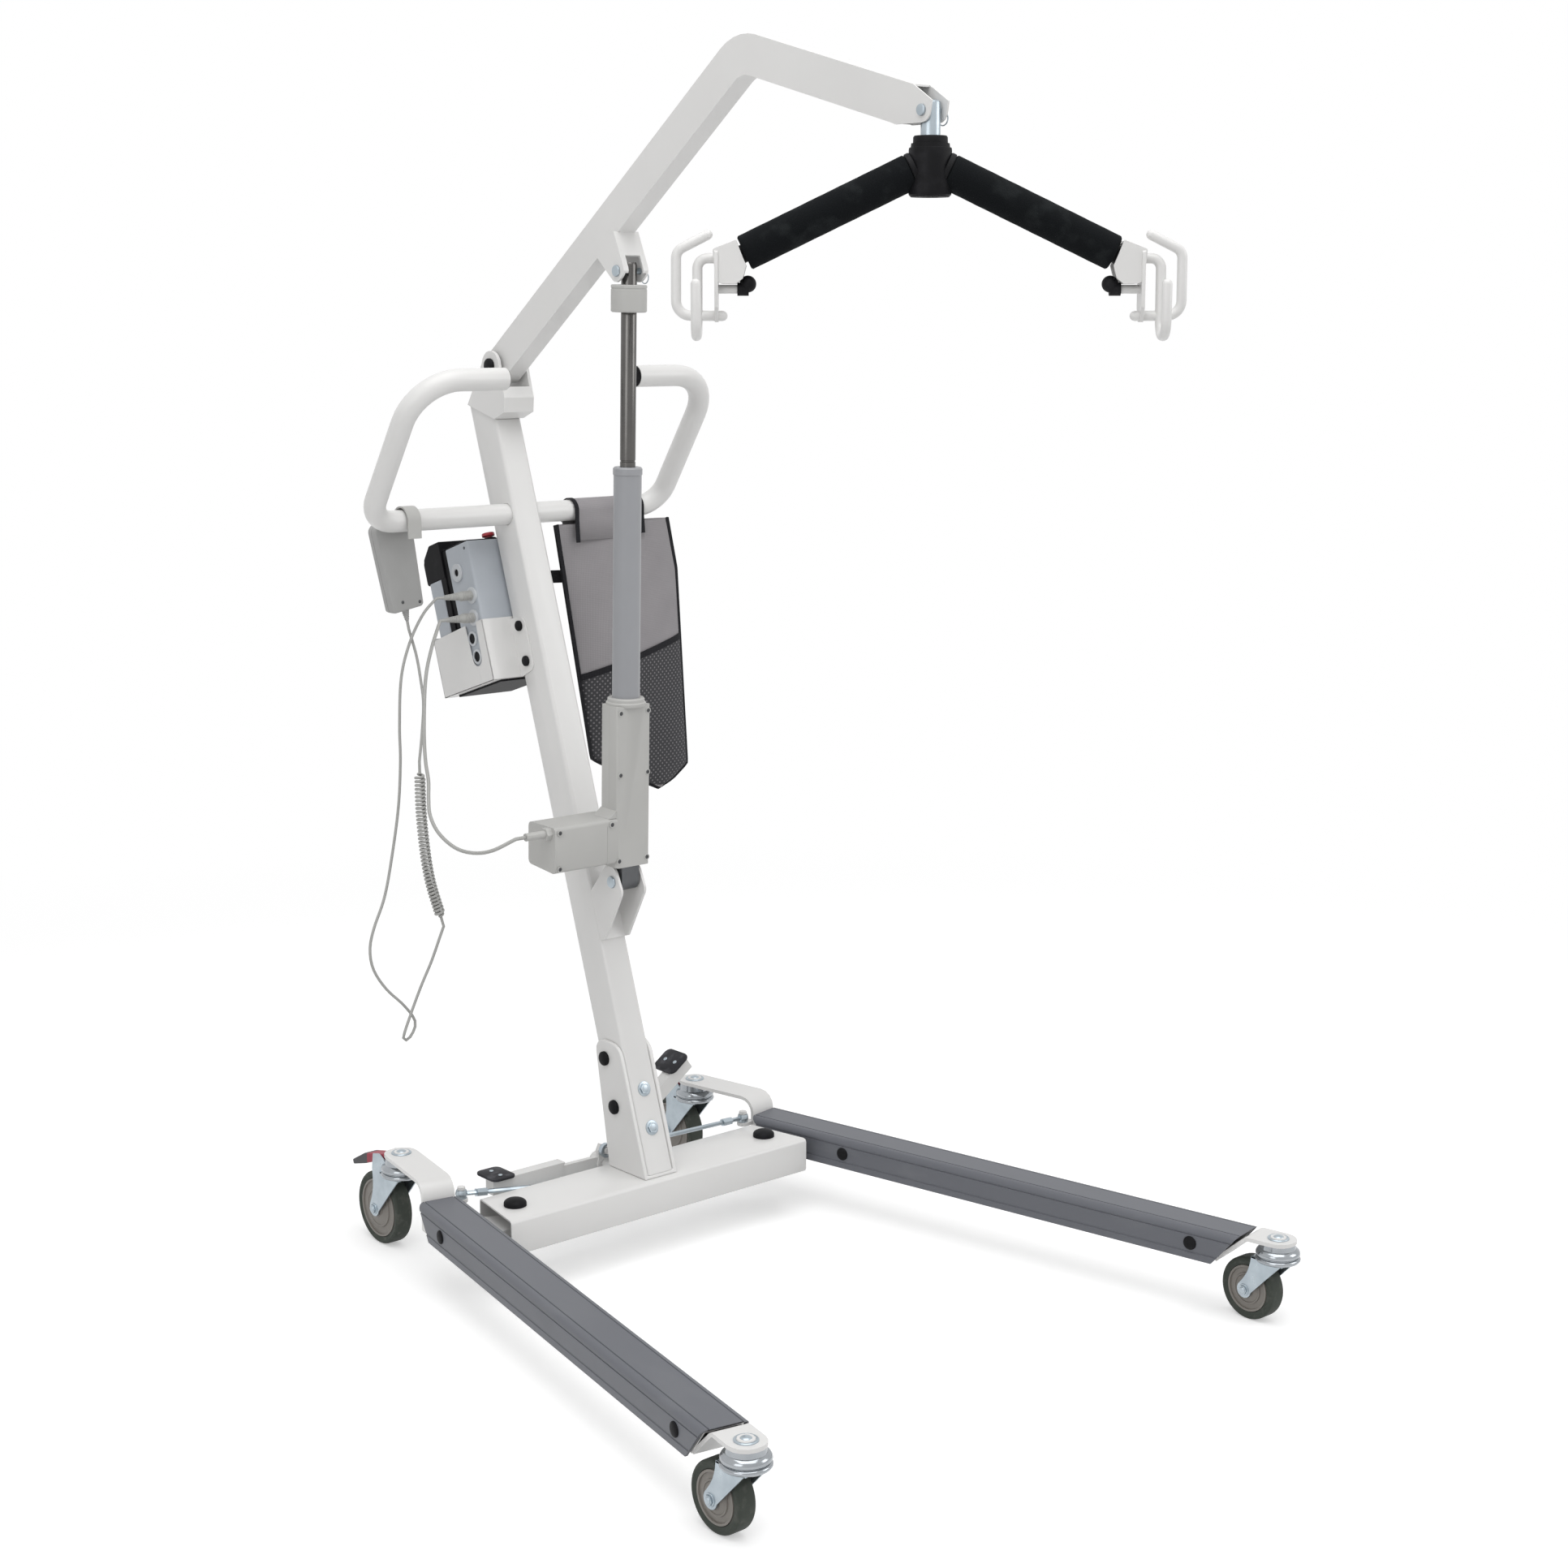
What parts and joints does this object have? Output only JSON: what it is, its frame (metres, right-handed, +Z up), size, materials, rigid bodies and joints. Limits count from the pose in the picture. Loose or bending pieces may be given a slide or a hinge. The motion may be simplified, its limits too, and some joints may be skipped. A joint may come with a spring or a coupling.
{
  "type": "patient lift",
  "caption": "Mobile electric patient lift with a wheeled base, spreading legs, leaning mast, actuator-driven boom and padded spreader bar.",
  "frame": {"origin": "on the floor midway between the two leg pivot bolts, in the plane of symmetry of the mast and boom", "axes": "+Z up; -Y towards the front, where the legs and the boom point; +X to the side where the storage bag hangs"},
  "size_m": [1.1364, 1.4461, 1.9427],
  "materials": {
    "white_frame": "satin powder coat",
    "leg_cover": "ribbed, matt",
    "zinc": "bright zinc plate",
    "chrome": "polished",
    "tyre": "matt",
    "hub": "moulded",
    "black_plastic": "satin",
    "foam": "closed-cell foam",
    "beige_plastic": "fine grain",
    "actuator_tube": "satin paint",
    "box_plastic": "fine grain",
    "red_plastic": "semi-gloss",
    "cord": "satin",
    "cord_light": "satin",
    "cloth": "woven"
  },
  "bodies": {
    "base": {"base_crossbar": "white_frame", "pivot_bolt_left": "black_plastic", "pivot_bolt_right": "black_plastic", "mast_foot": "white_frame", "mast": "white_frame", "mast_head": "white_frame", "boom_pivot_bolt": "black_plastic", "handle_bar": "white_frame", "control_tray": "white_frame", "control_box": "box_plastic", "lower_pin": "zinc", "pendant_plug": "cord", "motor_plug": "cord", "pendant_body": "cord", "pendant_lead_upper": "cord", "pendant_coil": "cord", "pendant_lead_lower": "cord", "motor_cord": "cord_light", "storage_bag": "cloth"},
    "leg_left": {"leg_left": "white_frame", "leg_cover_left": "leg_cover"},
    "tie_rod_left": {"tie_rod_left": "zinc"},
    "front_caster_left_swivel": {"front_caster_left_fork": "zinc"},
    "front_caster_left_wheel": {"front_caster_left_hub": "hub", "front_caster_left_tyre": "tyre"},
    "rear_caster_left_swivel": {"rear_caster_left_fork": "zinc"},
    "rear_caster_left_wheel": {"rear_caster_left_hub": "hub", "rear_caster_left_tyre": "tyre"},
    "rear_caster_left_brake": {"rear_caster_left_pedal": "red_plastic"},
    "leg_right": {"leg_right": "white_frame", "leg_cover_right": "leg_cover"},
    "tie_rod_right": {"tie_rod_right": "zinc"},
    "front_caster_right_swivel": {"front_caster_right_fork": "zinc"},
    "front_caster_right_wheel": {"front_caster_right_hub": "hub", "front_caster_right_tyre": "tyre"},
    "rear_caster_right_swivel": {"rear_caster_right_fork": "zinc"},
    "rear_caster_right_wheel": {"rear_caster_right_hub": "hub", "rear_caster_right_tyre": "tyre"},
    "rear_caster_right_brake": {"rear_caster_right_pedal": "red_plastic"},
    "rocker": {"pedal_rocker": "white_frame", "pedal_pad_left": "black_plastic", "pedal_pad_right": "black_plastic"},
    "boom": {"boom": "white_frame", "rod_pin": "zinc", "tip_pin": "zinc"},
    "hanger": {"hanger_post": "zinc"},
    "spreader": {"spreader_hub": "white_frame", "foam_left": "foam", "foam_right": "foam", "end_frame_left": "white_frame", "end_frame_right": "white_frame", "ball_cap_left": "black_plastic", "ball_cap_right": "black_plastic"},
    "actuator": {"actuator_body": "beige_plastic", "actuator_tube": "actuator_tube"},
    "piston": {"piston_rod": "chrome"},
    "battery": {"battery_pack": "box_plastic"},
    "estop": {"estop_button": "red_plastic"},
    "button_up": {"button_up": "black_plastic"},
    "button_down": {"button_down": "black_plastic"}
  },
  "joints": [
    {"name": "leg_left_swing", "type": "hinge", "parent": "base", "child": "leg_left", "pos_m": [0.262, 0, 0.106], "axis": [0, 0, -1], "range_deg": [0, 10.89]},
    {"name": "tie_rod_left_hinge", "type": "hinge", "parent": "leg_left", "child": "tie_rod_left", "pos_m": [0.2986, 0.09972, 0.13], "axis": [0, 0, 1], "range_deg": [0, 9.29]},
    {"name": "front_caster_left_swivel_joint", "type": "hinge", "parent": "leg_left", "child": "front_caster_left_swivel", "pos_m": [0.53644, -0.90238, 0.1357], "axis": [0, 0, 1], "continuous": true},
    {"name": "front_caster_left_axle", "type": "hinge", "parent": "front_caster_left_swivel", "child": "front_caster_left_wheel", "pos_m": [0.53644, -0.85638, 0.05], "axis": [1, 0, 0], "continuous": true},
    {"name": "rear_caster_left_swivel_joint", "type": "hinge", "parent": "leg_left", "child": "rear_caster_left_swivel", "pos_m": [0.31362, 0.25436, 0.164], "axis": [0, 0, 1], "continuous": true},
    {"name": "rear_caster_left_axle", "type": "hinge", "parent": "rear_caster_left_swivel", "child": "rear_caster_left_wheel", "pos_m": [0.31362, 0.30986, 0.0625], "axis": [1, 0, 0], "continuous": true},
    {"name": "rear_caster_left_brake_hinge", "type": "hinge", "parent": "rear_caster_left_swivel", "child": "rear_caster_left_brake", "pos_m": [0.31362, 0.29936, 0.1535], "axis": [-1, 0, 0], "range_deg": [0, 14.32]},
    {"name": "leg_right_swing", "type": "hinge", "parent": "base", "child": "leg_right", "pos_m": [-0.262, 0, 0.106], "axis": [0, 0, 1], "range_deg": [0, 10.89]},
    {"name": "tie_rod_right_hinge", "type": "hinge", "parent": "leg_right", "child": "tie_rod_right", "pos_m": [-0.2986, 0.09972, 0.13], "axis": [0, 0, -1], "range_deg": [0, 9.29]},
    {"name": "front_caster_right_swivel_joint", "type": "hinge", "parent": "leg_right", "child": "front_caster_right_swivel", "pos_m": [-0.53644, -0.90238, 0.1357], "axis": [0, 0, 1], "continuous": true},
    {"name": "front_caster_right_axle", "type": "hinge", "parent": "front_caster_right_swivel", "child": "front_caster_right_wheel", "pos_m": [-0.53644, -0.85638, 0.05], "axis": [1, 0, 0], "continuous": true},
    {"name": "rear_caster_right_swivel_joint", "type": "hinge", "parent": "leg_right", "child": "rear_caster_right_swivel", "pos_m": [-0.31362, 0.25436, 0.164], "axis": [0, 0, 1], "continuous": true},
    {"name": "rear_caster_right_axle", "type": "hinge", "parent": "rear_caster_right_swivel", "child": "rear_caster_right_wheel", "pos_m": [-0.31362, 0.30986, 0.0625], "axis": [1, 0, 0], "continuous": true},
    {"name": "rear_caster_right_brake_hinge", "type": "hinge", "parent": "rear_caster_right_swivel", "child": "rear_caster_right_brake", "pos_m": [-0.31362, 0.29936, 0.1535], "axis": [-1, 0, 0], "range_deg": [0, 14.32]},
    {"name": "pedal_rocker_hinge", "type": "hinge", "parent": "base", "child": "rocker", "pos_m": [0, 0.106, 0.12], "axis": [0, 1, 0], "range_deg": [0, 36.01]},
    {"name": "boom_pivot", "type": "hinge", "parent": "base", "child": "boom", "pos_m": [0, 0.36005, 1.45701], "axis": [1, 0, 0], "range_deg": [0, 36.67]},
    {"name": "hanger_hinge", "type": "hinge", "parent": "boom", "child": "hanger", "pos_m": [0, -0.65998, 1.81472], "axis": [1, 0, 0], "range_deg": [-57.3, 22.92]},
    {"name": "spreader_swivel", "type": "hinge", "parent": "hanger", "child": "spreader", "pos_m": [0, -0.65998, 1.78122], "axis": [0, 0, 1], "continuous": true},
    {"name": "actuator_tilt", "type": "hinge", "parent": "base", "child": "actuator", "pos_m": [0, 0.045, 0.6253], "axis": [1, 0, 0], "range_deg": [0, 2.29]},
    {"name": "piston_slide", "type": "slide", "parent": "actuator", "child": "piston", "axis": [0, 0.0314, -0.9995], "range_m": [0, 0.23548]},
    {"name": "battery_lift", "type": "slide", "parent": "base", "child": "battery", "axis": [0, 0.3092, 0.951], "range_m": [0, 0.12]},
    {"name": "estop_press", "type": "slide", "parent": "base", "child": "estop", "axis": [0, -0.3092, -0.951], "range_m": [0, 0.003]},
    {"name": "button_up_press", "type": "slide", "parent": "base", "child": "button_up", "axis": [0, -1, 0], "range_m": [0, 0.0015], "stiffness_N_per_m": 400},
    {"name": "button_down_press", "type": "slide", "parent": "base", "child": "button_down", "axis": [0, -1, 0], "range_m": [0, 0.0015], "stiffness_N_per_m": 400}
  ],
  "couplings": [
    {"joint": "leg_right_swing", "follows": "leg_left_swing", "ratio": 1},
    {"joint": "pedal_rocker_hinge", "follows": "leg_left_swing", "ratio": 3.3053},
    {"joint": "tie_rod_left_hinge", "follows": "leg_left_swing", "ratio": 0.85108},
    {"joint": "tie_rod_right_hinge", "follows": "leg_left_swing", "ratio": 0.85108},
    {"joint": "actuator_tilt", "follows": "boom_pivot", "ratio": 0.06208},
    {"joint": "piston_slide", "follows": "boom_pivot", "m_per_rad": 0.36762}
  ]
}
